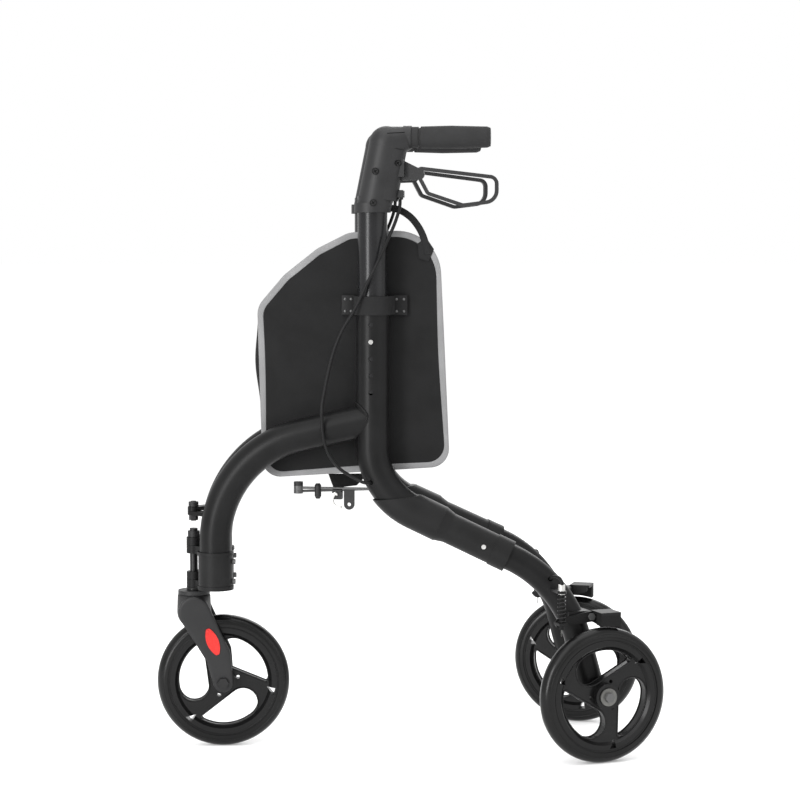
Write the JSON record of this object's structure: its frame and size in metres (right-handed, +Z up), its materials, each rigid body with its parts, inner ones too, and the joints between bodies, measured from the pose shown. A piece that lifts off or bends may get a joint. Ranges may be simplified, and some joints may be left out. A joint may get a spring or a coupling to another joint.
{
  "type": "three wheel rollator",
  "caption": "Folding walking aid with two tubular side frames hinged at the front, a caster front wheel, braked rear wheels, sliding handles and a bag between the frames.",
  "frame": {"origin": "middle of the bounding box on the floor, as stored partly folded", "axes": "+X the way it rolls, towards the caster; +Y the user's left; +Z up"},
  "size_m": [0.753, 0.3818, 0.9331],
  "materials": {
    "frame_paint": "satin black",
    "handle_metal": "dark anodised",
    "plastic": "matte black",
    "steel": "plain",
    "black_steel": "blackened",
    "tyre": "smooth",
    "grip_rubber": "ribbed",
    "shoe_rubber": "plain",
    "cable": "casing",
    "fabric": "woven",
    "reflector": "prismatic"
  },
  "bodies": {
    "head": {"hinge_pin": "steel", "hinge_caps": "plastic", "bag_gusset": "fabric"},
    "caster": {"fork": "plastic", "fork_cap": "plastic", "stem_bearing": "steel", "reflectors": "reflector", "front_axle": "steel"},
    "front_wheel": {"front_rim": "plastic", "front_tyre": "tyre", "front_bearings": "steel"},
    "left_frame": {"left_front_tube": "frame_paint", "left_main_tube": "frame_paint", "left_hinge_sleeve": "plastic", "left_leg_casting": "plastic", "left_rear_leg": "frame_paint", "left_axle_bolts": "steel", "left_brake_spring": "black_steel", "left_brake_cable": "cable", "left_bag_panel": "fabric", "left_bag_strap": "fabric"},
    "left_handle": {"left_handle_tube": "handle_metal", "left_elbow_outer": "plastic", "left_elbow_inner": "plastic", "left_handle_fittings": "steel", "left_grip": "grip_rubber"},
    "left_height_button": {"left_height_button": "steel"},
    "left_leg_button": {"left_leg_button": "steel"},
    "left_lever": {"left_brake_lever": "plastic"},
    "left_brake": {"left_brake_arm": "plastic", "left_brake_shoe": "shoe_rubber"},
    "left_wheel": {"left_rim": "plastic", "left_tyre": "tyre", "left_bearings": "steel"},
    "left_brace": {"left_brace_arm": "steel", "brace_catch": "plastic"},
    "right_frame": {"right_front_tube": "frame_paint", "right_main_tube": "frame_paint", "right_hinge_sleeve": "plastic", "right_leg_casting": "plastic", "right_rear_leg": "frame_paint", "right_axle_bolts": "steel", "right_brake_spring": "black_steel", "right_brake_cable": "cable", "right_bag_panel": "fabric", "right_bag_strap": "fabric"},
    "right_handle": {"right_handle_tube": "handle_metal", "right_elbow_outer": "plastic", "right_elbow_inner": "plastic", "right_handle_fittings": "steel", "right_grip": "grip_rubber"},
    "right_height_button": {"right_height_button": "steel"},
    "right_leg_button": {"right_leg_button": "steel"},
    "right_lever": {"right_brake_lever": "plastic"},
    "right_brake": {"right_brake_arm": "plastic", "right_brake_shoe": "shoe_rubber"},
    "right_wheel": {"right_rim": "plastic", "right_tyre": "tyre", "right_bearings": "steel"},
    "right_brace": {"right_brace_arm": "steel"}
  },
  "joints": [
    {"name": "caster_swivel", "type": "hinge", "parent": "head", "child": "caster", "pos_m": [0.3205, 0, 0.22], "axis": [0, 0, 1], "continuous": true},
    {"name": "front_wheel_spin", "type": "hinge", "parent": "caster", "child": "front_wheel", "pos_m": [0.2765, 0, 0.1], "axis": [0, 1, 0], "continuous": true},
    {"name": "left_fold", "type": "hinge", "parent": "head", "child": "left_frame", "pos_m": [0.3205, 0, 0.28], "axis": [0, 0, -1], "range_deg": [-4, 19], "deforming": ["bag_gusset"]},
    {"name": "left_wheel_spin", "type": "hinge", "parent": "left_frame", "child": "left_wheel", "pos_m": [-0.28115, 0.14856, 0.1], "axis": [-0.3256, 0.9455, 0], "continuous": true},
    {"name": "left_height_slide", "type": "slide", "parent": "left_frame", "child": "left_handle", "axis": [0, 0, 1], "range_m": [-0.075, 0.025], "deforming": ["left_brake_cable", "left_height_button"]},
    {"name": "left_height_press", "type": "slide", "parent": "left_handle", "child": "left_height_button", "axis": [-0.1478, -0.989, 0], "range_m": [0, 0.003], "stiffness_N_per_m": 400},
    {"name": "left_leg_press", "type": "slide", "parent": "left_frame", "child": "left_leg_button", "axis": [-0.1478, -0.989, 0], "range_m": [0, 0.003], "stiffness_N_per_m": 400},
    {"name": "left_squeeze", "type": "hinge", "parent": "left_handle", "child": "left_lever", "pos_m": [0.01379, 0.07213, 0.878], "axis": [0.1478, 0.989, 0], "range_deg": [0, 12], "stiffness_Nm_per_rad": 0.5},
    {"name": "left_brake_swing", "type": "hinge", "parent": "left_frame", "child": "left_brake", "pos_m": [-0.26578, 0.12847, 0.213], "axis": [0.3256, -0.9455, 0], "range_deg": [0, 4.2], "deforming": ["left_brake_spring", "left_brake_cable"]},
    {"name": "left_brace_swing", "type": "hinge", "parent": "left_frame", "child": "left_brace", "pos_m": [0.02346, 0.03832, 0.39294], "axis": [0, 0, -1], "range_deg": [-7, 31]},
    {"name": "right_fold", "type": "hinge", "parent": "head", "child": "right_frame", "pos_m": [0.3205, 0, 0.28], "axis": [0, 0, 1], "range_deg": [-4, 19], "deforming": ["bag_gusset"]},
    {"name": "right_wheel_spin", "type": "hinge", "parent": "right_frame", "child": "right_wheel", "pos_m": [-0.28115, -0.14856, 0.1], "axis": [-0.3256, -0.9455, 0], "continuous": true},
    {"name": "right_height_slide", "type": "slide", "parent": "right_frame", "child": "right_handle", "axis": [0, 0, 1], "range_m": [-0.075, 0.025], "deforming": ["right_brake_cable", "right_height_button"]},
    {"name": "right_height_press", "type": "slide", "parent": "right_handle", "child": "right_height_button", "axis": [-0.1478, 0.989, 0], "range_m": [0, 0.003], "stiffness_N_per_m": 400},
    {"name": "right_leg_press", "type": "slide", "parent": "right_frame", "child": "right_leg_button", "axis": [-0.1478, 0.989, 0], "range_m": [0, 0.003], "stiffness_N_per_m": 400},
    {"name": "right_squeeze", "type": "hinge", "parent": "right_handle", "child": "right_lever", "pos_m": [0.01379, -0.07213, 0.878], "axis": [-0.1478, 0.989, 0], "range_deg": [0, 12], "stiffness_Nm_per_rad": 0.5},
    {"name": "right_brake_swing", "type": "hinge", "parent": "right_frame", "child": "right_brake", "pos_m": [-0.26578, -0.12847, 0.213], "axis": [-0.3256, -0.9455, 0], "range_deg": [0, 4.2], "deforming": ["right_brake_spring", "right_brake_cable"]},
    {"name": "right_brace_swing", "type": "hinge", "parent": "right_frame", "child": "right_brace", "pos_m": [0.02346, -0.03832, 0.39294], "axis": [0, 0, 1], "range_deg": [-7, 31]}
  ],
  "couplings": [
    {"joint": "right_fold", "follows": "left_fold", "ratio": 1},
    {"joint": "left_brake_swing", "follows": "left_squeeze", "ratio": 0.35},
    {"joint": "left_brace_swing", "follows": "left_fold", "ratio": 1.605},
    {"joint": "right_brake_swing", "follows": "right_squeeze", "ratio": 0.35},
    {"joint": "right_brace_swing", "follows": "left_fold", "ratio": 1.605}
  ]
}
